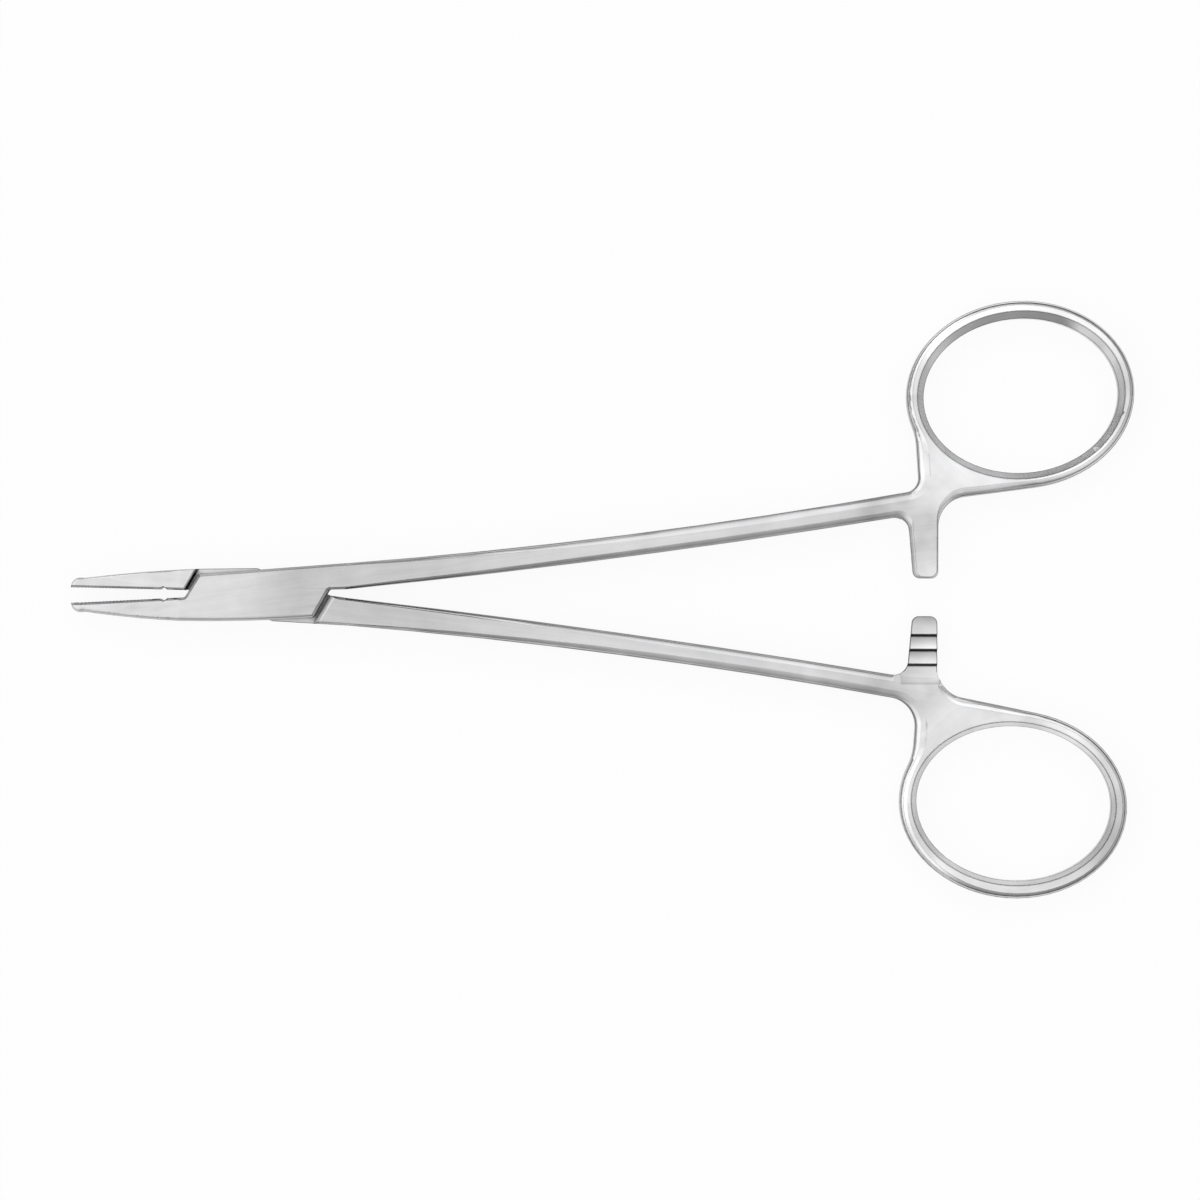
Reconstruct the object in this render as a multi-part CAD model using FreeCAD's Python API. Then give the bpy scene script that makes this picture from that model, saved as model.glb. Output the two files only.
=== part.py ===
import FreeCAD, Part
import math
import os

V = FreeCAD.Vector

# Needle holder with a box lock, lying flat. Millimetres and degrees.
# The origin is where the axis of the lock meets the underside of the box.
# X runs from the jaws to the finger rings, Y across, Z up. The jaws stand open as at rest.
# The box half has the lower jaw and the upper ring, the tongue half the other two.

# Travel of the tongue half about the lock, from the rest position
close_angle = 4.6
open_angle = 55.0

# Thicknesses, and the height of the slot through the box
box_thick = 4.6
ring_thick = 3.5
tip_thick = 2.2
mortise_height = 1.80
tongue_gap = 0.03

# Jaws: length from the lock, and each gripping face by its lean and its distance from the lock
jaw_length = 26.6
box_grip_lean = 2.94
box_grip_offset = 0.046
tongue_grip_lean = 1.18
tongue_grip_offset = 0.30

# Outer edge of the jaws: half widths at nose, middle and heel, shape of the nose, rounding
nose_length = 1.8
nose_bulge = (0.14, 0.62)
box_jaw = (2.54, 3.34, 3.79)
tongue_jaw = (2.15, 3.00, 3.50)
jaw_round = 0.35
belly_round = 0.60
grip_bevel = 0.30
flat_margin = 1.0

# Relief notch near the box, and the fine serration from there to the tip
notch_gap = 2.35
notch_width = 1.2
notch_depth = 0.43
serration_pitch = 0.50
serration_depth = 0.12
serration_margin = 1.0

# Lock box in plan: slanted edges by lean and distance from the lock, then the long edges
plate_left_lean = 31.2
plate_left_offset = 8.737
plate_right_lean = 29.0
plate_right_offset = 8.10
plate_top = 2.75
plate_belly = 3.74
belly_x = -2.0
plate_bottom = 3.25
plate_corner = 0.66
plate_bevel = 0.32
corner_radius = 0.45

# Shoulders of the tongue half beside the box: gap, turn against the box's edge, and bevel
shoulder_gap = (0.563, 0.46)
shoulder_turn = (1.4, -1.6)
shoulder_bevel = (0.34, 0.73)
shoulder_profile = ((0.0, 0.50), (0.65, 0.10), (1.0, 0.0))

# Tongue between the shoulders, and the room that the slot leaves round it
tongue_lean = 20.3
tongue_low = 2.96
tongue_high = 3.22
tongue_top = 3.62
tongue_bottom = 3.80
mortise_clearance = 0.06

# Rivet
pin_diameter = 2.6
pin_clearance = 0.03

# Shanks at box, middle and root: outer edge, width and bevels
taper_x = 12.0
shank_outer = (4.36, 8.76, 15.36)
shank_width = (3.64, 3.08, 3.36)
tongue_extra = 0.22
outer_bevel = (plate_bevel, 0.95, 1.15)
inner_bevel = (plate_bevel, 0.80, 0.90)
edge_profile = ((1.0, 0.0), (0.45, 0.18), (0.12, 0.45), (0.0, 0.85))

# Ratchet arms, placed by their side towards the rings
arm_x = 95.0
root_gap = 0.30
arm_width = 3.50
arm_root_width = 4.40
box_arm_tip = 2.50
tongue_arm_tip = 2.80
arm_tip_radius = 1.0
arm_bevel_left = 0.50
arm_bevel_right = 0.20

# Web where shank, arm and ring meet
# Each half has the near side of its web, from the arm side, and its fillet to the shank
box_web = (2.47, 2.0)
tongue_web = (2.73, 4.0)
web_rise = 1.50
web_bevel_left = 1.60
web_bevel = 1.30
web_lean = 4.1
ring_fillet = 8.0
inner_fillet = 2.0
arm_fillet = 4.2

# Finger rings: half axes of the hole, bar round it, tilt, and shift of the rim
ring_hole = (13.70, 10.83)
ring_bar = (2.28, 2.34)
ring_tilt = 4.0
rim_shift = (-0.07, 0.14)
hole_profile = ((1.0, 0.0), (0.0, 0.80))

# Near side and lowest point of each ring, from the arm's side and the lower corner of the web
box_ring = (-4.52, 1.64)
tongue_ring = (-5.33, 2.47)

# Bevels of rim and hole in each half: widths along X and Y, and how far their flat edge shifts
box_rim = ((0.72, 0.84), (0.05, 0.21))
box_hole = ((0.87, 0.945), (-0.03, 0.10))
tongue_rim = ((0.87, 0.77), (0.17, 0.0))
tongue_hole = ((0.67, 0.62), (-0.09, 0.0))

# Ratchet teeth, counted from the tip of the arm, and the recess behind them
tooth_count = 3
tooth_pitch = 2.08
tooth_height = 0.55
first_crest = 5.35
tooth_back = 0.22
crest_gap = 0.08
recess_length = 2.75
recess_ramp = 0.75
recess_side = (5.2, 0.3)

# Room taken for the lock when it is cut: half length, half width, and margin of every cut
lock_room = (14.0, 8.0)
spare = 1.0

# Lines in plan, written (direction of the normal, distance from the axis of the lock)
plate_left = (180.0 - plate_left_lean, plate_left_offset)
plate_right = (-plate_right_lean, plate_right_offset)
box_grip = (90.0 + box_grip_lean, box_grip_offset)
tongue_grip = (90.0 - tongue_grip_lean, tongue_grip_offset)
shoulder_left = (plate_left[0] + shoulder_turn[0], plate_left[1] + shoulder_gap[0])
shoulder_right = (plate_right[0] + shoulder_turn[1], plate_right[1] + shoulder_gap[1])
edge_low = (270.0 - tongue_lean, tongue_low)
edge_high = (90.0 - tongue_lean, tongue_high)
edge_top = (90.0, tongue_top)
edge_bottom = (270.0, tongue_bottom)

# Places that follow from the sizes above
mid = box_thick / 2
tip_x = -jaw_length
root_x = arm_x - root_gap
middle_x = (taper_x + root_x) / 2
web_bottom = shank_outer[2] - shank_width[2] + web_rise
ring_rim = (ring_hole[0] + ring_bar[0], ring_hole[1] + ring_bar[1])


def meet(a, b):
    """Crossing of two lines."""
    ax, ay = math.cos(math.radians(a[0])), math.sin(math.radians(a[0]))
    bx, by = math.cos(math.radians(b[0])), math.sin(math.radians(b[0]))
    det = ax * by - ay * bx
    return ((a[1] * by - b[1] * ay) / det, (b[1] * ax - a[1] * bx) / det)


def level(y):
    return (90.0, y)


def plus(a, b, share=1.0):
    return (a[0] + share * b[0], a[1] + share * b[1])


def middle(a, b):
    return ((a[0] + b[0]) / 2, (a[1] + b[1]) / 2)


def wire(start, *steps):
    """Closed outline: a step is a point, or a pair (point on the arc, end of the arc)."""
    edges, here = [], start
    for step in list(steps) + [start]:
        if isinstance(step[0], tuple):
            edges.append(Part.Arc(V(*here), V(*step[0]), V(*step[1])).toShape())
            here = step[1]
        elif math.dist(here, step) > 1e-6:
            edges.append(Part.makeLine(V(*here), V(*step)))
            here = step
    return Part.Wire(edges)


def slab(outline, low=-spare, high=box_thick + spare):
    face = Part.Face(outline)
    face.translate(V(0, 0, low))
    return face.extrude(V(0, 0, high - low))


def oval(centre, axes):
    shape = Part.Wire([Part.Ellipse(V(), axes[0], axes[1]).toShape()])
    shape.rotate(V(), V(0, 0, 1), ring_tilt)
    shape.translate(V(*centre))
    return shape


def touch(centre, axes, point, side):
    """Where the tangent from a point meets an oval."""
    c, s = math.cos(math.radians(ring_tilt)), math.sin(math.radians(ring_tilt))
    dx, dy = point[0] - centre[0], point[1] - centre[1]
    u, v = (dx * c + dy * s) / axes[0], (dy * c - dx * s) / axes[1]
    angle = math.atan2(v, u) + side * math.acos(1 / math.hypot(u, v))
    u, v = axes[0] * math.cos(angle), axes[1] * math.sin(angle)
    return (centre[0] + u * c - v * s, centre[1] + u * s + v * c)


def upright_edge(shape, point):
    def miss(edge):
        a, b = edge.Vertexes[0].Point, edge.Vertexes[-1].Point
        if len(edge.Vertexes) < 2 or math.hypot(a.x - b.x, a.y - b.y) > 1e-6:
            return math.inf
        return math.hypot(a.x - point[0], a.y - point[1])
    return min(shape.Edges, key=miss)


def hole_centre(place):
    """Centre of a finger hole, from the near side and lowest point of the rim."""
    corner = (arm_x + place[0], web_bottom + place[1])
    return plus(plus(corner, ring_rim), rim_shift, -1)


def handle_outline(extra, ring, rim_bevel, side_web, tip, inset):
    """Plan of shank, web, ring and ratchet arm; inset 1 gives the flat inside the bevels."""
    stations = (taper_x, middle_x, root_x)
    widths = (shank_width[0] + extra, shank_width[1], shank_width[2])
    outer = [(x, y - inset * b) for x, y, b in zip(stations, shank_outer, outer_bevel)]
    inner = [(x, y - w + inset * b)
             for x, y, w, b in zip(stations, shank_outer, widths, inner_bevel)]
    core = inner[2][1] + (outer[2][1] - inner[2][1]) / 4
    shank = wire(outer[0], (outer[1], outer[2]), inner[2], (inner[1], inner[0]))
    rim = plus(ring_rim, rim_bevel[0], -inset)
    centre = plus(plus(ring, rim_shift), rim_bevel[1], inset)
    left = (arm_x - side_web[0] + inset * web_bevel_left, core)
    rise = (left[0] - (centre[1] - core) * math.tan(math.radians(web_lean)), centre[1])
    low = (arm_x - inset * arm_bevel_right, web_bottom + inset * web_bevel)
    web = wire(rise, left, (low[0], core), low, touch(centre, rim, low, 1), centre)
    end = tip + inset * arm_bevel_right
    side = (arm_x - arm_width + inset * arm_bevel_left, end)
    root = (arm_x - arm_root_width + inset * arm_bevel_left, core)
    arm = wire(side, (low[0], end), (low[0], core), root)
    parts = [slab(w, 0, spare) for w in (shank, oval(centre, rim), web, arm)]
    body = parts[0].fuse(parts[1:]).removeSplitter()
    bend = (rise[0], centre[1] - rim[1] * math.sqrt(1 - ((centre[0] - rise[0]) / rim[0]) ** 2))
    for radius, corner in ((ring_fillet, bend),
                           (side_web[1] + inset * outer_bevel[2], (left[0], outer[2][1])),
                           (arm_fillet, low),
                           (inner_fillet, (root[0], inner[2][1])),
                           (arm_tip_radius, side), (arm_tip_radius, (low[0], end))):
        body = body.makeFillet(radius, [upright_edge(body, corner)])
    return min(body.Faces, key=lambda f: f.CenterOfMass.z).OuterWire


def tilted(outline, height, side):
    """Lay a plan outline on the plane that the top (side 1) or underside (-1) tapers along."""
    slope = math.degrees(math.atan((box_thick - ring_thick) / 2 / (arm_x - taper_x)))
    shape = outline.copy()
    shape.translate(V(0, 0, height))
    shape.rotate(V(taper_x, 0, height), V(0, 1, 0), side * slope)
    return shape


def stack(outline, profile):
    """Solid with shaped edges: outline gives the plan for each share of the bevel's width."""
    under = [tilted(outline(share), depth, -1) for share, depth in profile]
    upper = [tilted(outline(share), box_thick - depth, 1) for share, depth in profile[::-1]]
    return Part.makeLoft(under + upper, True, True)


def ratchet_cut(tip, face):
    """What is cut from above (face 1) or below (-1) the middle to leave the toothed arm."""
    crest = mid - face * crest_gap / 2
    valley = crest - face * tooth_height
    beyond = mid + face * box_thick
    points = [(tip - spare, beyond), (tip - spare, valley), (tip, valley)]
    for i in range(tooth_count):
        y = first_crest + i * tooth_pitch
        points += [(y, crest), (y + tooth_back, valley)]
    end = first_crest + (tooth_count - 1) * tooth_pitch + recess_length
    points += [(end - recess_ramp, valley), (end, crest + face * tooth_height), (end, beyond)]
    start = arm_x - recess_side[0]
    profile = Part.makePolygon([V(start, y, z) for y, z in points + points[:1]])
    return Part.Face(profile).extrude(V(recess_side[0] + recess_side[1], 0, 0))


def handle(extra, place, bevels, side_web, tip, face):
    """Shank, ring and ratchet arm of one half, on the +Y side."""
    ring, (rim, (grow, shift)) = hole_centre(place), bevels
    body = stack(lambda inset: handle_outline(extra, ring, rim, side_web, tip, inset),
                 edge_profile)
    hole = stack(lambda share: oval(plus(ring, shift, share), plus(ring_hole, grow, share)),
                 hole_profile)
    return body.cut(hole).cut(ratchet_cut(tip, face))


def flat_end():
    """Where the lock ends and the thickness starts to fall towards the tip."""
    return meet(plate_left, level(0))[0] - flat_margin


def front(outline):
    """Plan outline of jaw and lock cut from a bar that thins towards the tip."""
    low, high, start = mid - tip_thick / 2, mid + tip_thick / 2, flat_end()
    side = [(tip_x - spare, low), (tip_x, low), (start, 0), (taper_x, 0), (taper_x, box_thick),
            (start, box_thick), (tip_x, high), (tip_x - spare, high), (tip_x - spare, low)]
    bar = Part.Face(Part.makePolygon([V(x, -lock_room[1], z) for x, z in side]))
    return bar.extrude(V(0, 2 * lock_room[1], 0)).common(slab(outline))


def jaw_steps(grip, jaw, side, heel):
    """Gripping edge to the tip, round the nose and along the outer edge to the heel."""
    tip = meet(grip, (180.0, jaw_length))
    nose = (tip_x + nose_length, side * jaw[0])
    bulge = (tip_x + nose_bulge[0] * nose_length, tip[1] + nose_bulge[1] * (nose[1] - tip[1]))
    belly = ((nose[0] + heel[0]) / 2, side * jaw[1])
    return [tip, (bulge, nose), (belly, heel)]


def rim_edges(shape, *points):
    """Edges of the top and underside that pass closest to the given plan points."""
    chosen = []
    for x, y in points:
        for z in (-spare, box_thick + spare):
            probe = Part.Vertex(x, y, z)
            flat = [e for e in shape.Edges if abs(e.tangentAt(e.FirstParameter).z) < 0.5]
            edge = min(flat, key=lambda e: e.distToShape(probe)[0])
            if not any(edge.isSame(c) for c in chosen):
                chosen.append(edge)
    return chosen


def grip_corner(grip):
    """Prism that takes the corner off a gripping edge of the upper jaw."""
    slope = (box_thick - tip_thick) / 2 / (flat_end() - tip_x)
    layers = []
    for x in (tip_x - spare, flat_end(), flat_end() / 2):
        y, z = meet(grip, (0.0, x))[1], box_thick - slope * max(flat_end() - x, 0)
        layers.append(Part.makePolygon([V(x, y - spare, z - grip_bevel - spare),
                                        V(x, y + grip_bevel + spare, z + spare),
                                        V(x, y - spare, z + spare),
                                        V(x, y - spare, z - grip_bevel - spare)]))
    return Part.makeLoft(layers, True, True)


def comb(grip, side, start, stop, pitch, depth):
    """Prism with V teeth that notches a gripping face; side 1 cuts upwards into the jaw."""
    a = math.radians(grip[0])
    n, t = (math.cos(a), math.sin(a)), (math.sin(a), -math.cos(a))

    def at(along, off):
        return (n[0] * (grip[1] + side * off) + t[0] * along,
                n[1] * (grip[1] + side * off) + t[1] * along)
    points, x = [at(start, -spare)], start
    while x + pitch <= stop + 1e-9:
        points += [at(x, 0), at(x + pitch / 2, depth), at(x + pitch, 0)]
        x += pitch
    return slab(wire(*points, at(x, -spare)))


def dressed_jaw(body, grip, side):
    """Cut the relief notch and the serration into a gripping face."""
    notch, half = flat_end() - notch_gap, notch_width / 2
    body = body.cut(comb(grip, side, notch - half, notch + half, notch_width, notch_depth))
    return body.cut(comb(grip, side, tip_x + serration_margin, notch - 2 * half,
                         serration_pitch, serration_depth))


def cylinder(radius):
    return Part.makeCylinder(radius, box_thick)


def mortise():
    """Room that the tongue sweeps between the cheeks, from closed to fully open."""
    def side(edge, angle):
        return (edge[0] + angle, edge[1] + mortise_clearance)
    near, near_end = side(edge_low, close_angle), side(edge_bottom, -open_angle)
    far, far_end = side(edge_high, close_angle), side(edge_top, -open_angle)
    length, width = lock_room
    outline = wire(meet(near, (180.0, length)), meet(near, near_end),
                   meet(near_end, level(-width)), (length, -width), meet(far, (0.0, length)),
                   meet(far, far_end), meet(far_end, level(width)), (-length, width))
    return slab(outline, mid - mortise_height / 2, mid + mortise_height / 2)


def box_half():
    heel = (flat_end(), -box_jaw[2])
    low, high = meet(plate_right, level(-plate_bottom)), meet(plate_right, level(plate_corner))
    top, inner = meet(plate_left, level(plate_top)), meet(plate_left, box_grip)
    belly = (belly_x, -plate_belly)
    jaw = jaw_steps(box_grip, box_jaw, -1, heel)
    outline = wire(top, inner, *jaw, (belly, low), high,
                   (taper_x, shank_outer[0] - shank_width[0]), (taper_x, shank_outer[0]))
    body = front(outline)
    body = body.makeFillet(corner_radius, [upright_edge(body, inner), upright_edge(body, high)])
    crest = (taper_x, shank_outer[0])
    sides = [middle(top, inner), middle(low, high), middle(top, crest)]
    body = body.makeChamfer(plate_bevel, rim_edges(body, *sides))
    body = body.makeFillet(belly_round, rim_edges(body, jaw[1][0], jaw[2][0], belly))
    body = body.fuse(handle(0, box_ring, (box_rim, box_hole), box_web, box_arm_tip, -1)).removeSplitter()
    body = dressed_jaw(body.cut(mortise()), box_grip, -1)
    return body.cut(cylinder(pin_diameter / 2))


def strip(share=0):
    """Plan between the two shoulders, grown by a share of their bevels."""
    left = plus(shoulder_left, (0, shoulder_bevel[0]), share)
    right = plus(shoulder_right, (0, shoulder_bevel[1]), share)
    width = lock_room[1]
    return wire(meet(left, level(width)), meet(left, level(-width)),
                meet(right, level(-width)), meet(right, level(width)))


def cheek_room():
    """What is taken off above the tongue, with the bevels of the shoulders."""
    thin = mid + mortise_height / 2 - tongue_gap
    layers = []
    for share, depth in shoulder_profile:
        layers.append(strip(share))
        layers[-1].translate(V(0, 0, box_thick - depth))
    return slab(strip(), thin).fuse(Part.makeLoft(layers, True, True))


def tongue_half():
    heel = meet(shoulder_left, level(tongue_jaw[2]))
    jaw = jaw_steps(tongue_grip, tongue_jaw, 1, heel)
    inner_end = (taper_x, shank_width[0] + tongue_extra - shank_outer[0])
    outer_end = (taper_x, -shank_outer[0])
    inside, under = meet(edge_high, shoulder_right), meet(edge_bottom, edge_low)
    outline = wire(meet(shoulder_left, edge_low), meet(shoulder_left, tongue_grip), *jaw,
                   meet(edge_top, edge_high), inside, inner_end, outer_end, under)
    body = front(outline)
    body = body.makeChamfer(plate_bevel, rim_edges(body, middle(inside, inner_end),
                                                   middle(under, outer_end)))
    behind = ((flat_end() + heel[0]) / 2, heel[1])
    body = body.makeFillet(jaw_round, rim_edges(body, jaw[1][0], jaw[2][0], behind))
    corner = grip_corner(tongue_grip)
    body = body.cut(corner).cut(corner.mirror(V(0, 0, mid), V(0, 0, 1)))
    grip = handle(tongue_extra, tongue_ring, (tongue_rim, tongue_hole), tongue_web,
                  tongue_arm_tip, 1)
    grip = grip.mirror(V(), V(0, 1, 0))
    body = body.fuse(grip).removeSplitter()
    room = cheek_room()
    body = body.cut(room).cut(room.mirror(V(0, 0, mid), V(0, 0, 1)))
    body = dressed_jaw(body, tongue_grip, 1)
    return body.cut(cylinder(pin_diameter / 2 + pin_clearance))


def main():
    os.makedirs("parts", exist_ok=True)
    pieces = {"box_half": box_half(), "tongue_half": tongue_half(),
              "lock_pin": cylinder(pin_diameter / 2)}
    for name, shape in pieces.items():
        print(name, shape.isValid(), len(shape.Solids), len(shape.Faces), round(shape.Volume, 2))
        shape.exportStep("parts/" + name + ".step")


main()
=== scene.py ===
# %% [markdown]
# # A surgical needle holder in satin steel
#
# The real object is three pieces of stainless steel: two halves that cross in a box
# lock, and the rivet that they turn on. Their shapes come finished from the CAD frame.
# What is left for this file is everything that the eye reads as steel: edges that are
# not knife sharp, a satin finish that follows the form, and light that shows both.

# %% Load the frame
import math
import bpy
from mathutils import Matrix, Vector

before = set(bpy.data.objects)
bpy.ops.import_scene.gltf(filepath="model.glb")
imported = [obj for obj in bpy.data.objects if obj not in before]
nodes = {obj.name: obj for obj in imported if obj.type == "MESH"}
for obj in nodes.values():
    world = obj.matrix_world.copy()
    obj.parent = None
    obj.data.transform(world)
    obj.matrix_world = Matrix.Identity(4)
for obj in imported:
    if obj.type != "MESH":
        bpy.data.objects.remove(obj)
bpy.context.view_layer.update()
scene = bpy.context.scene
mm = 0.001
print("nodes:", sorted(nodes))

# %% [markdown]
# ## Camera
#
# The photograph looks straight down, with a little air at both ends of the object. A
# long lens from 0.6 m gives almost no perspective, as a product photographer would
# choose. An orthographic camera would look nearly the same, but a real lens shows a
# trace of the rings' inner walls. The frame is square and 168 mm wide where the object
# lies.

# %% Place the camera over the object
frame_width = 168 * mm
camera_height = 600 * mm
look_at = Vector((47.6 * mm, -0.67 * mm, 4.0 * mm))
camera_roll = math.radians(0.2)
sensor_width = 36
sight_range = 10

camera_data = bpy.data.cameras.new("overhead")
camera_data.sensor_width = sensor_width
camera_data.lens = sensor_width * camera_height / frame_width
camera_data.clip_end = sight_range
camera = bpy.data.objects.new("overhead", camera_data)
camera.location = look_at + Vector((0, 0, camera_height))
camera.rotation_euler = (0, 0, camera_roll)
scene.collection.objects.link(camera)
scene.camera = camera
print("lens", round(camera_data.lens, 1), "mm")

# %% [markdown]
# ## Small helpers for node trees
#
# Materials here are written as node trees. A few short helpers keep them readable. One
# adds a node and fills its inputs, and the others do sums on sockets or plain numbers.
# A `ramp` between two limits is the most used of them: it makes every soft mask, 0 at
# the first limit and 1 at the second. The limits may stand in either order. The same
# trees could be drawn by hand in the editor, but written out they can be read, named
# and reused for all three pieces.


# %% Helpers for node trees
def add(tree, kind, inputs=None, **settings):
    """New node: inputs by name or number, other settings as attributes."""
    node = tree.nodes.new(kind)
    for key, value in settings.items():
        setattr(node, key, value)
    for key, value in (inputs or {}).items():
        if isinstance(value, bpy.types.NodeSocket):
            tree.links.new(value, node.inputs[key])
        else:
            node.inputs[key].default_value = value
    return node


def math_node(tree, operation, *values):
    """Result of one sum on sockets or numbers."""
    node = add(tree, "ShaderNodeMath", dict(enumerate(values)), operation=operation)
    return node.outputs[0]


def vector_node(tree, operation, *values):
    """Result of one sum on vectors: a number for lengths, distances and dot products."""
    node = add(tree, "ShaderNodeVectorMath", dict(enumerate(values)), operation=operation)
    gives_number = operation in ("LENGTH", "DISTANCE", "DOT_PRODUCT")
    return node.outputs["Value" if gives_number else "Vector"]


def times(tree, value, *others):
    """Product of sockets or numbers."""
    for other in others:
        value = math_node(tree, "MULTIPLY", value, other)
    return value


def more(tree, total, amount, value):
    """Total plus an amount of a value."""
    return math_node(tree, "MULTIPLY_ADD", value, amount, total)


def ramp(tree, value, low, high, to_low=0.0, to_high=1.0):
    """Smooth step from one value to another."""
    node = add(tree, "ShaderNodeMapRange", {"Value": value, "From Min": low, "From Max": high,
                                            "To Min": to_low, "To Max": to_high},
               interpolation_type="SMOOTHSTEP")
    return node.outputs[0]


print("helpers:", [helper.__name__ for helper in (add, math_node, vector_node, times, more, ramp)])

# %% [markdown]
# ## Floor
#
# A sheet of white paper. The camera and the steel's reflections see it at full white,
# through the Light Path node, so no lamp has to burn it out. A plain white diffuse
# floor would need light so strong that the steel would clip as well. A little of the
# lit surface is mixed in, and that keeps a trace of contact shadow.

# %% Floor
paper_grey = (0.9, 0.9, 0.9, 1)
white = (1, 1, 1, 1)
glow_share = 0.93
floor_size = 3.0


def paper():
    material = bpy.data.materials.new("white_paper")
    material.use_nodes = True
    tree = material.node_tree
    tree.nodes.clear()
    path = add(tree, "ShaderNodeLightPath").outputs
    seen = math_node(tree, "MAXIMUM", path["Is Camera Ray"], path["Is Glossy Ray"])
    seen = math_node(tree, "MAXIMUM", seen, path["Is Transmission Ray"])
    lit = add(tree, "ShaderNodeBsdfDiffuse", {"Color": paper_grey})
    glow = add(tree, "ShaderNodeEmission", {"Color": white, "Strength": 1.0})
    share = times(tree, seen, glow_share)
    mix = add(tree, "ShaderNodeMixShader", {0: share, 1: lit.outputs[0], 2: glow.outputs[0]})
    add(tree, "ShaderNodeOutputMaterial", {"Surface": mix.outputs[0]})
    return material


far = floor_size / 2
floor_mesh = bpy.data.meshes.new("floor")
corners = [(-far, -far, 0), (far, -far, 0), (far, far, 0), (-far, far, 0)]
floor_mesh.from_pydata(corners, [], [(0, 1, 2, 3)])
floor_mesh.materials.append(paper())
floor = bpy.data.objects.new("floor", floor_mesh)
scene.collection.objects.link(floor)
print("floor", floor_size, "m square")

# %% [markdown]
# ## Light
#
# Polished steel has no colour of its own: it shows the room. So the room is designed
# first, as a world shader that depends only on direction. Area lamps could stand in for
# it, but each would have to be placed, and its mirrored edge would be hard. Here every
# patch is soft, and the whole room fits in one table.
#
# Between a grey horizon and a lighter ceiling hang a few patches. Overhead is one white
# spot, which a polished flat mirrors straight back to the camera. A white panel high
# behind the object and one to its left light the bevels on those sides. Two dark
# patches, low behind and high in front, take light away: bevels that face them turn
# grey and show where the form bends.
#
# X points right in the photograph, Y away from the viewer and Z up. Each patch is 0 at
# the first limit of an axis and full at the second.

# %% The room as a world shader
height_limits = (0.15, 0.75)
horizon_and_ceiling = (0.48, 0.80)
patches = {
    "white spot overhead": (0.40, {"Z": (0.974, 0.988)}),
    "white panel behind": (0.60, {"Y": (0.40, 0.52), "Z": (0.42, 0.56)}),
    "white panel on the left": (0.58, {"X": (-0.26, -0.40), "Z": (0.18, 0.36)}),
    "dark horizon behind": (-0.25, {"Y": (0.15, 0.45), "Z": (0.42, 0.28)}),
    "dark cloth in front": (-0.34, {"Y": (-0.58, -0.70), "Z": (0.10, 0.40)}),
}


def room():
    world = bpy.data.worlds.new("studio")
    world.use_nodes = True
    tree = world.node_tree
    tree.nodes.clear()
    way = add(tree, "ShaderNodeTexCoord").outputs["Generated"]
    axes = add(tree, "ShaderNodeSeparateXYZ", {0: way}).outputs
    level = ramp(tree, axes["Z"], *height_limits, *horizon_and_ceiling)
    for strength, edges in patches.values():
        amount = strength
        for axis, limits in edges.items():
            amount = times(tree, ramp(tree, axes[axis], *limits), amount)
        level = math_node(tree, "ADD", level, amount)
    path = add(tree, "ShaderNodeLightPath")
    level = math_node(tree, "MAXIMUM", level, path.outputs["Is Camera Ray"])
    light = add(tree, "ShaderNodeBackground", {"Color": white, "Strength": level})
    add(tree, "ShaderNodeOutputWorld", {"Surface": light.outputs[0]})
    return world


scene.world = room()
scene.view_settings.view_transform = "Standard"
print("patches:", sorted(patches))

# %% [markdown]
# ## Where things lie on a half
#
# The finish changes along each half, and so do the painted light and shade, so the
# material has to know where it is. Painted masks would do it, but they need an unwrapped
# mesh and go stale with every change of shape. Here all of it comes from Object
# coordinates, whose origin is the rivet. The places below are measured on the parts. From
# them come a few soft masks: near the ring, on the ring's own oval, near the web between
# ring and shank, on the toothed arm, near the lock.

# %% Places on the halves
shank_lean = math.radians(8.0)
upper_ring = (106.5 * mm, 28.2 * mm)
lower_ring = (105.7 * mm, -29.0 * mm)
upper_web = (97.5 * mm, 17.0 * mm)
lower_web = (97.0 * mm, -17.5 * mm)
web_height = 4 * mm
ring_half_sizes = (16.0 * mm, 13.2 * mm)
ring_zone = (19.5 * mm, 16.5 * mm)
polar_stretch = 15 * mm
oval_zone = (1.12, 1.02)
clear_of_web = (6 * mm, 13 * mm)
# The ring mask is strongest at the top and bottom of the oval: lower roughness there, and a painted
# highlight in the colour.
facing_sideways = (0.1, 0.8)
least_and_most_polish = (0.45, 1.0)
lock_zone = (17 * mm, 14 * mm)
clear_of_rivet = (2.0 * mm, 2.6 * mm)

first_tooth = -5.38 * mm
tooth_pitch = 2.06 * mm
tooth_count = 3
arm_zone = (88.5 * mm, 89 * mm)
step_starts = (5.1 * mm, 5.4 * mm)
step_ends = (7.3 * mm, 7.0 * mm)
step_right_end = (98.6 * mm, 98.2 * mm)


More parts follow.
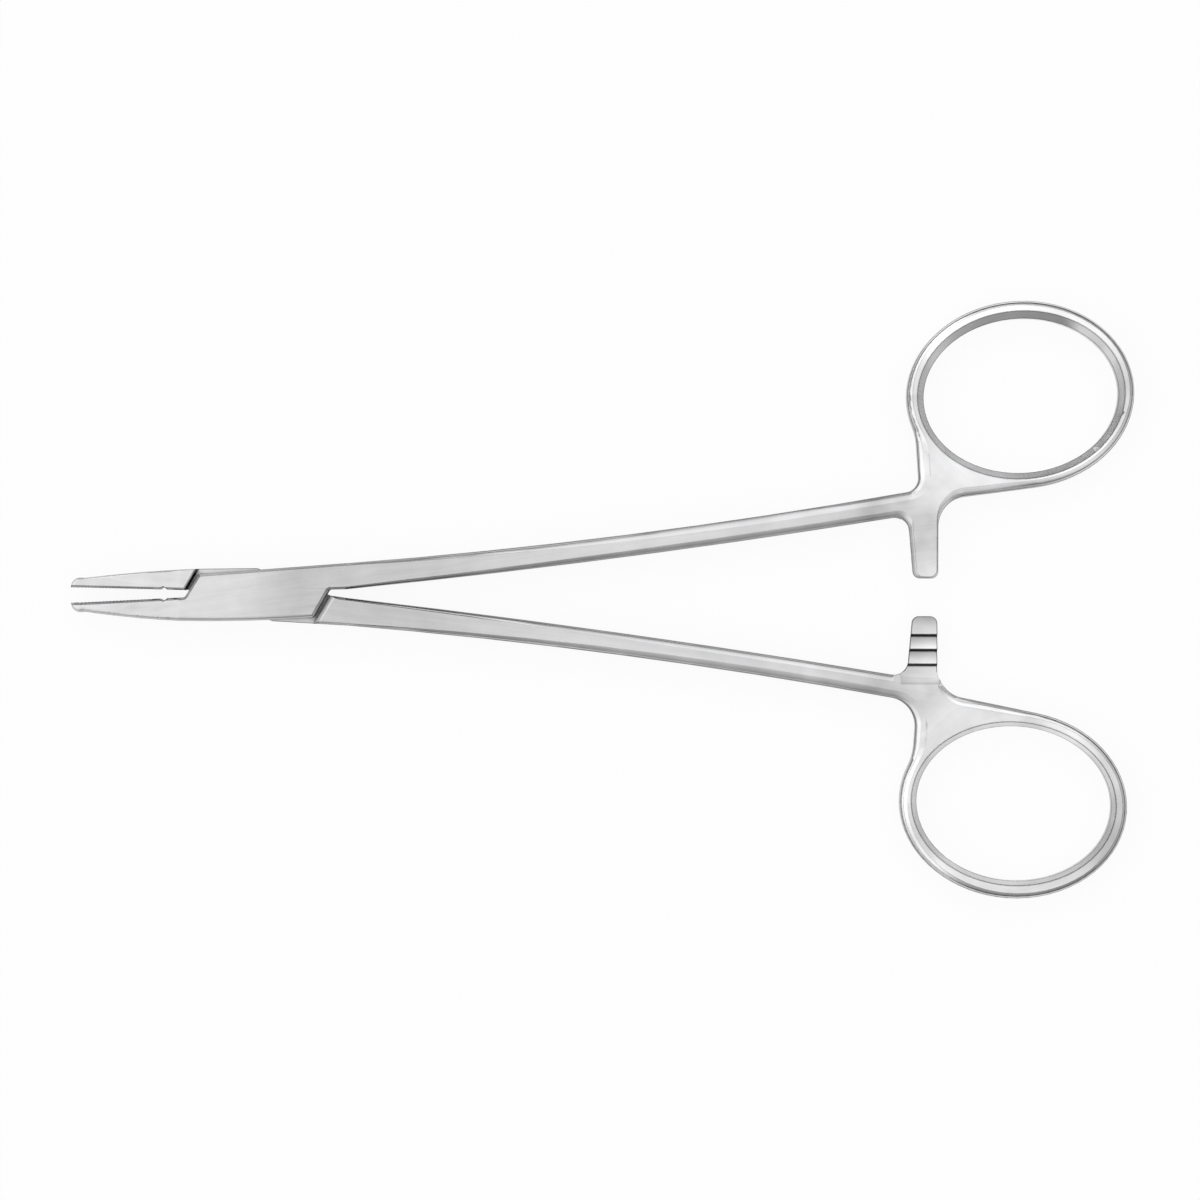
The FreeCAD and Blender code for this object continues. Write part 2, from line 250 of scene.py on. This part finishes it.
def locate(tree, ring_centre, web_centre, teeth_up):
    """Coordinates and soft masks that say where on a half a point lies."""
    at = {"place": add(tree, "ShaderNodeTexCoord").outputs["Object"]}
    axes = add(tree, "ShaderNodeSeparateXYZ", {0: at["place"]}).outputs
    at["x"] = axes["X"]

    centred = vector_node(tree, "SUBTRACT", at["place"], (*ring_centre, 0))
    split = add(tree, "ShaderNodeSeparateXYZ", {0: centred}).outputs
    radius = vector_node(tree, "LENGTH", centred)
    turn = math_node(tree, "ARCTAN2", split["Y"], split["X"])
    at["polar"] = add(tree, "ShaderNodeCombineXYZ", {
        "X": times(tree, turn, polar_stretch), "Y": radius, "Z": split["Z"]}).outputs[0]
    at["near_ring"] = ramp(tree, radius, *ring_zone)

    round_scale = (1 / ring_half_sizes[0], 1 / ring_half_sizes[1], 0)
    oval = vector_node(tree, "LENGTH", vector_node(tree, "MULTIPLY", centred, round_scale))
    sideways = math_node(tree, "ABSOLUTE", math_node(tree, "SINE", turn))
    at["from_web"] = vector_node(tree, "DISTANCE", at["place"], (*web_centre, web_height))
    # Ring mask: it lowers the roughness of the polished ring, and in the colour it adds a painted
    # highlight, strongest at the top and bottom of the oval and away from the web.
    at["polish"] = times(tree, ramp(tree, oval, *oval_zone), ramp(tree, at["from_web"], *clear_of_web),
                         ramp(tree, sideways, *facing_sideways, *least_and_most_polish))

    at["below"] = math_node(tree, "SUBTRACT", first_tooth, axes["Y"])
    at["on_arm"] = times(tree, ramp(tree, at["x"], *arm_zone), teeth_up)
    at["on_step"] = times(tree, at["on_arm"], ramp(tree, at["below"], *step_starts),
                          ramp(tree, at["below"], *step_ends), ramp(tree, at["x"], *step_right_end))

    flat = vector_node(tree, "MULTIPLY", at["place"], (1, 1, 0))
    from_rivet = vector_node(tree, "LENGTH", flat)
    at["near_lock"] = ramp(tree, from_rivet, *lock_zone)
    at["off_rivet"] = ramp(tree, from_rivet, *clear_of_rivet)
    return at


tooth_places = [round((first_tooth - number * tooth_pitch) / mm, 2) for number in range(tooth_count)]
print("tooth roots at Y", tooth_places, "mm")

# %% [markdown]
# ## Grinding marks
#
# The real finish is fine belt grinding along the shanks and jaws, and round the rings.
# A tiled picture of brushed metal would repeat and would run straight across the rings.
# So each mark is noise stretched along one direction, once coarse for the streaks that
# show from afar and once fine for the close view. Along a shank the direction is
# straight. At the rings the same noise runs on polar coordinates, so the marks bend
# round the hole. Clouds and broad smudges are what hand polishing leaves.

# %% Grinding marks
streak_roughness = 0.55
coarse_marks = {"along": 45, "across": 650, "detail": 3}
fine_marks = {"along": 120, "across": 5200, "detail": 2}
cloud_noise = {"Scale": 230.0, "Detail": 5.0, "Roughness": 0.6}
smudge_noise = {"Scale": 90.0, "Detail": 3.0, "Roughness": 0.5}
noise_middle = 0.5


def swing(tree, noise):
    """Noise as a swing to both sides of zero."""
    return math_node(tree, "SUBTRACT", noise, noise_middle)


def streaks(tree, vector, along, across, detail):
    """Noise drawn out along X of the given coordinates."""
    drawn = add(tree, "ShaderNodeMapping", {"Vector": vector, "Scale": (along, across, across)})
    noise = add(tree, "ShaderNodeTexNoise", {"Vector": drawn.outputs[0], "Scale": 1.0,
                                             "Detail": detail, "Roughness": streak_roughness})
    return noise.outputs["Fac"]


def marks(tree, at, lean, sizes):
    """Streaks straight along the shank, and round the hole near the ring."""
    turned = add(tree, "ShaderNodeMapping", {"Vector": at["place"], "Rotation": (0, 0, -lean)})
    mix = add(tree, "ShaderNodeMix", {
        "Factor": at["near_ring"], "A": streaks(tree, turned.outputs[0], **sizes),
        "B": streaks(tree, at["polar"], **sizes)})
    return swing(tree, mix.outputs[0])


def blots(tree, at, settings):
    """Shapeless noise for clouds and smudges."""
    noise = add(tree, "ShaderNodeTexNoise", {"Vector": at["place"], **settings})
    return swing(tree, noise.outputs["Fac"])


for label, sizes in (("coarse", coarse_marks), ("fine", fine_marks)):
    print(label, "marks about", round(1 / sizes["across"] / mm, 2), "mm wide")

# %% [markdown]
# ## Painted shade: dark lines, flanks and gaps
#
# Thin dark lines run along nearly every edge, the flanks are darker than the flats, and the
# gaps of the lock are black. All of this is painted shade: the reflection of dark
# surroundings and the shade in the gaps, painted into the colour. Pointiness is the usual
# shortcut for such lines, but it works from vertices, and these meshes are long thin
# triangles. Shader nodes that look at the surface itself don't mind that. Each kind of
# painted shade gets its mask.
#
# - Flanks are where the normal is far from upright.
# - The Bevel node gives the normal as if the edges were rounded. Where that differs from
#   the true normal there is an edge: a little for creases, much for corners.
# - The Ambient Occlusion node says how closed in a point is.
#
# The rivet is ground flush and the step at the foot of the ratchet is soft, so `lined`
# keeps both free of painted dark lines. Near the rings the bends are slight, so the limits
# for a line are tighter there. The same function also gives a painted highlight on the
# ring's bevels.

# %% Painted shade: dark lines, flanks and gaps
step_fades_lines = -0.85
flank_limits = (0.66, 0.28)
flank_less_at_ring = -0.45
shank_zone = (20 * mm, 26 * mm)
flank_at_lock_and_shank = (0.75, 1.0)
reach_zone = (70 * mm, 90 * mm)
reach_at_shank_and_ring = (0.22 * mm, 0.30 * mm)
line_samples = 8
gap_size = 2.5 * mm
# Limits for a painted highlight on the ring's bevels.
ring_bevel_highlight_limits = (0.985, 0.95)
# Pairs of a limit on the shank and what is added to it: near the ring for creases and
# corners, near the lock for gaps.
crease_limits = ((0.984, 0.012), (0.960, 0.020))
corner_limits = ((0.978, -0.028), (0.890, -0.070))
gap_limits = ((0.50, 0.08), (0.12, 0.12))


def painted_light_and_shade(tree, at):
    """Masks for painted shade on flanks, creases, corners and gaps, and for a painted highlight on the
    ring's bevel.
    """
    lined = times(tree, at["off_rivet"], more(tree, 1.0, step_fades_lines, at["on_step"]))
    geometry = add(tree, "ShaderNodeNewGeometry").outputs
    normal = add(tree, "ShaderNodeSeparateXYZ", {0: geometry["Normal"]}).outputs
    upright = math_node(tree, "ABSOLUTE", normal["Z"])
    reach = ramp(tree, at["x"], *reach_zone, *reach_at_shank_and_ring)
    rounded = add(tree, "ShaderNodeBevel", {"Radius": reach}, samples=line_samples).outputs[0]
    same = vector_node(tree, "DOT_PRODUCT", rounded, geometry["True Normal"])
    occlusion = add(tree, "ShaderNodeAmbientOcclusion", {"Distance": gap_size}, samples=line_samples)

    def mask(value, limits, zone):
        """Soft mask whose limits shift within a zone."""
        low, high = (more(tree, limit, shift, zone) for limit, shift in limits)
        return times(tree, ramp(tree, value, low, high), lined)

    return {
        "flank_painted_shade": times(tree, ramp(tree, upright, *flank_limits),
                       more(tree, 1.0, flank_less_at_ring, at["near_ring"]), lined,
                       ramp(tree, at["x"], *shank_zone, *flank_at_lock_and_shank)),
        "crease_painted_line": mask(same, crease_limits, at["near_ring"]),
        "corner_painted_line": mask(same, corner_limits, at["near_ring"]),
        "gap_painted_shade": mask(occlusion.outputs["AO"], gap_limits, at["near_lock"]),
        "ring_bevel_highlight": times(tree, at["near_ring"], ramp(tree, upright, *ring_bevel_highlight_limits))}


print("lines reach", [round(reach / mm, 2) for reach in reach_at_shank_and_ring], "mm from an edge")

# %% [markdown]
# ## Ratchet teeth
#
# Three teeth show on the arm of the lower half. Their shape is in the CAD mesh, and only
# the shade is made here, as painted shade in the colour. Each ramp gets a painted shadow,
# black at its root under the steep face, and painted shade beside it that fades lighter
# towards its crest. One mask that repeats with the pitch does all three: `phase` counts
# from 0 at a root to 1 at the next crest. The arm's tip has one longer ramp of its own.

# %% Ratchet teeth
tip_length = 3.6 * mm
toothed_pitches = (2.25, 2.15)
ramp_shade_limits = (1.0, 0.1)
root_shadow_limits = (0.16, 0.10)
tip_edge = (-0.1 * mm, 0.0)


def tooth_painted_shade(tree, at):
    """Masks for painted shade on the ramps and a painted shadow at the roots."""
    on_tip = math_node(tree, "LESS_THAN", at["below"], 0.0)
    phase = add(tree, "ShaderNodeMix", {
        "Factor": on_tip, "A": math_node(tree, "FRACT", times(tree, at["below"], 1 / tooth_pitch)),
        "B": more(tree, 1.0, 1 / tip_length, at["below"])}).outputs[0]
    toothed_length = [pitches * tooth_pitch for pitches in toothed_pitches]
    on_teeth = times(tree, at["on_arm"], ramp(tree, at["below"], *toothed_length))
    # Painted shade: darkest at each root, fading towards the crest.
    ramp_painted_shade = times(tree, on_teeth, ramp(tree, phase, *ramp_shade_limits))
    # Painted shadow: a black line at each root.
    root = times(tree, on_teeth, ramp(tree, phase, *root_shadow_limits), ramp(tree, at["below"], *tip_edge))
    return ramp_painted_shade, root


print("teeth end", round(toothed_pitches[0] * tooth_pitch / mm, 2), "mm below the first root")

# %% [markdown]
# ## Satin steel
#
# Now the parts come together. The steel starts at one grey and drifts a little along the
# half, darker over the lock and lighter on the shanks: painted shade and painted light, as
# the light falls. Web and ring are brighter in colour, a painted highlight; the ring is
# also polished, and its lower roughness shows that. Marks and clouds are added, and the
# painted shade multiplies the result. Roughness follows the same masks, so a polished ring
# mirrors more than a ground shank. One metal with masks was chosen over several
# materials, because on a forging no finish ends at a face's border.
#
# The two halves differ in how bright their painted highlights on web, ring and bevel are,
# and only the lower one carries its teeth on top.

# %% Steel
base_shade = 0.700
# Painted shade over the lock and painted light on the shanks, as the light falls.
lock_painted_shade = (-0.145, (-4 * mm, 5 * mm))
shank_painted_light = (0.100, (20 * mm, 40 * mm))
# Painted highlight near the web.
web_highlight_zone = (9 * mm, 4 * mm)
smudge_zone = (60 * mm, 95 * mm)
coarse_gain = 0.22
fine_gain = 0.10
cloud_gain = 0.20
smudge_gain = 0.90
# How much each painted shade darkens the colour.
painted_shade_gains = {"flank_painted_shade": -0.72, "crease_painted_line": -0.70, "corner_painted_line": -0.85, "gap_painted_shade": -0.92}
# Painted shade on the tooth ramps and painted shadow at their roots.
ramp_shade_gain = -0.46
root_shadow_gain = -0.80
blue_tint = 1.012
mark_strength = 0.10
mark_depth = 0.008 * mm
step_flatness = 0.9
straight_up = (0, 0, 1)
base_roughness = 0.34
polish_roughness = -0.16
mark_roughness = 0.16
cloud_roughness = 0.12


def steel(name, lean, ring_centre, web_centre, highlight_gains, teeth_up):
    """Satin steel for one piece: grinding along the shank, a polished ring, painted light and shade.
    """
    material = bpy.data.materials.new(name)
    material.use_nodes = True
    tree = material.node_tree
    at = locate(tree, ring_centre, web_centre, teeth_up)
    dark = painted_light_and_shade(tree, at)
    ramp_painted_shade, root = tooth_painted_shade(tree, at)
    coarse = marks(tree, at, lean, coarse_marks)
    fine = marks(tree, at, lean, fine_marks)
    clouds = blots(tree, at, cloud_noise)
    smudges = times(tree, blots(tree, at, smudge_noise), ramp(tree, at["x"], *smudge_zone))

    shade = base_shade
    # Painted shade over the lock, painted light on the shanks.
    for amount, limits in (lock_painted_shade, shank_painted_light):
        shade = more(tree, shade, amount, ramp(tree, at["x"], *limits))
    # Painted highlights on web and ring; grinding marks, clouds and smudges are the steel's own tone.
    for amount, value in ((highlight_gains["web"], ramp(tree, at["from_web"], *web_highlight_zone)),
                          (highlight_gains["ring"], at["polish"]), (coarse_gain, coarse), (fine_gain, fine),
                          (cloud_gain, clouds), (smudge_gain, smudges)):
        shade = more(tree, shade, amount, value)
    # Painted highlight on the ring's bevels, on the lower half only.
    shade = times(tree, shade, more(tree, 1.0, highlight_gains["bevel"], dark["ring_bevel_highlight"]))
    # Painted shade on flanks, creases, corners and gaps.
    for place, amount in painted_shade_gains.items():
        shade = times(tree, shade, more(tree, 1.0, amount, dark[place]))
    # Painted shade on the tooth ramps and painted shadow at their roots.
    shade = times(tree, shade, more(tree, 1.0, ramp_shade_gain, ramp_painted_shade), more(tree, 1.0, root_shadow_gain, root))
    colour = add(tree, "ShaderNodeCombineColor", {
        "Red": shade, "Green": shade, "Blue": times(tree, shade, blue_tint)})

    rough = more(tree, base_roughness, polish_roughness, at["polish"])
    rough = more(tree, rough, mark_roughness, fine)
    rough = more(tree, rough, cloud_roughness, clouds)

    marked = add(tree, "ShaderNodeBump", {
        "Strength": mark_strength, "Distance": mark_depth, "Height": fine})
    facing = add(tree, "ShaderNodeMix", {
        "Factor": times(tree, at["on_step"], step_flatness), "A": marked.outputs[0],
        "B": straight_up}, data_type="VECTOR").outputs[1]

    shader = tree.nodes["Principled BSDF"]
    shader.inputs["Metallic"].default_value = 1.0
    tree.links.new(colour.outputs[0], shader.inputs["Base Color"])
    tree.links.new(rough, shader.inputs["Roughness"])
    tree.links.new(facing, shader.inputs["Normal"])
    return material


# Painted highlights: how much web, ring and ring bevel brighten the colour on each half.
upper_highlight_gains = {"web": 0.11, "ring": 0.22, "bevel": 0.0}
lower_highlight_gains = {"web": 0.02, "ring": 0.03, "bevel": 0.06}
rivet_highlight_gains = {"web": 0.0, "ring": 0.0, "bevel": 0.0}
finishes = {
    "box_half": steel("satin_steel_box_half", shank_lean, upper_ring, upper_web, upper_highlight_gains, 0.0),
    "tongue_half": steel("satin_steel_tongue_half", -shank_lean, lower_ring, lower_web,
                         lower_highlight_gains, 1.0),
    "lock_pin": steel("satin_steel_rivet", 0.0, upper_ring, upper_web, rivet_highlight_gains, 0.0)}
for name, material in finishes.items():
    nodes[name].data.materials.clear()
    nodes[name].data.materials.append(material)
print("finishes:", sorted(finishes))

# %% [markdown]
# ## Edges
#
# No edge on a real instrument is sharp: tumbling and polishing round them all by about a
# tenth of a millimetre, and that rounding is what catches the light. Fillets in the CAD
# would do it too, but hundreds of tiny faces would weigh the part down. The CAD mesh is
# loose triangles, so a small node tree first joins them at their corners, then marks
# the real edges by their angle. A bend beside a face that looks almost straight up or
# down is the rim of a flat, and counts as an edge much sooner: otherwise the flats
# would be shaded as if they were rounded. A Bevel modifier rounds the strong edges, and
# weighted normals keep the flats flat.


# %% Geometry Nodes: join the triangles and mark the real edges
join_inputs = {"Join Distance": 0.001 * mm, "Edge Angle": math.radians(35.8),
               "Rim Angle": math.radians(12), "Rim Upright": 0.91}


def join_tree():
    tree = bpy.data.node_groups.new("join_and_mark", "GeometryNodeTree")
    sockets = tree.interface
    sockets.new_socket("Geometry", in_out="INPUT", socket_type="NodeSocketGeometry")
    for name, value in join_inputs.items():
        socket = sockets.new_socket(name, in_out="INPUT", socket_type="NodeSocketFloat")
        socket.default_value = value
    sockets.new_socket("Geometry", in_out="OUTPUT", socket_type="NodeSocketGeometry")
    given = tree.nodes.new("NodeGroupInput").outputs
    merge = add(tree, "GeometryNodeMergeByDistance", {
        "Geometry": given["Geometry"], "Distance": given["Join Distance"]})
    normal = add(tree, "ShaderNodeSeparateXYZ", {0: add(tree, "GeometryNodeInputNormal").outputs[0]})
    upright = math_node(tree, "ABSOLUTE", normal.outputs["Z"])
    on_rim = math_node(tree, "GREATER_THAN", upright, given["Rim Upright"])
    limit = add(tree, "ShaderNodeMix", {"Factor": on_rim, "A": given["Edge Angle"],
                                        "B": given["Rim Angle"]}).outputs[0]
    bend = add(tree, "GeometryNodeInputMeshEdgeAngle").outputs["Unsigned Angle"]
    smooth = add(tree, "FunctionNodeCompare", {0: bend, 1: limit}, operation="LESS_THAN")
    faces = add(tree, "GeometryNodeSetShadeSmooth", {"Geometry": merge.outputs[0],
                                                     "Shade Smooth": True}, domain="FACE")
    edges = add(tree, "GeometryNodeSetShadeSmooth", {"Geometry": faces.outputs[0],
                                                     "Shade Smooth": smooth.outputs[0]},
                domain="EDGE")
    add(tree, "NodeGroupOutput", {"Geometry": edges.outputs[0]})
    return tree


joiner = join_tree()
print("inputs:", [item.name for item in joiner.interface.items_tree if item.in_out == "INPUT"])

# %% Round the edges
edge_radius = 0.08 * mm
edge_segments = 2
edge_angle = math.radians(45)


def soften(node):
    join = node.modifiers.new("join_and_mark", "NODES")
    join.node_group = joiner
    bevel = node.modifiers.new("edge_rounding", "BEVEL")
    bevel.width = edge_radius
    bevel.segments = edge_segments
    bevel.limit_method = "ANGLE"
    bevel.angle_limit = edge_angle
    bevel.use_clamp_overlap = True
    bevel.harden_normals = True
    bevel.miter_outer = "MITER_ARC"
    weigh = node.modifiers.new("even_shading", "WEIGHTED_NORMAL")
    weigh.keep_sharp = True


soften(nodes["box_half"])
soften(nodes["tongue_half"])
print("edges rounded by", round(edge_radius / mm, 2), "mm")
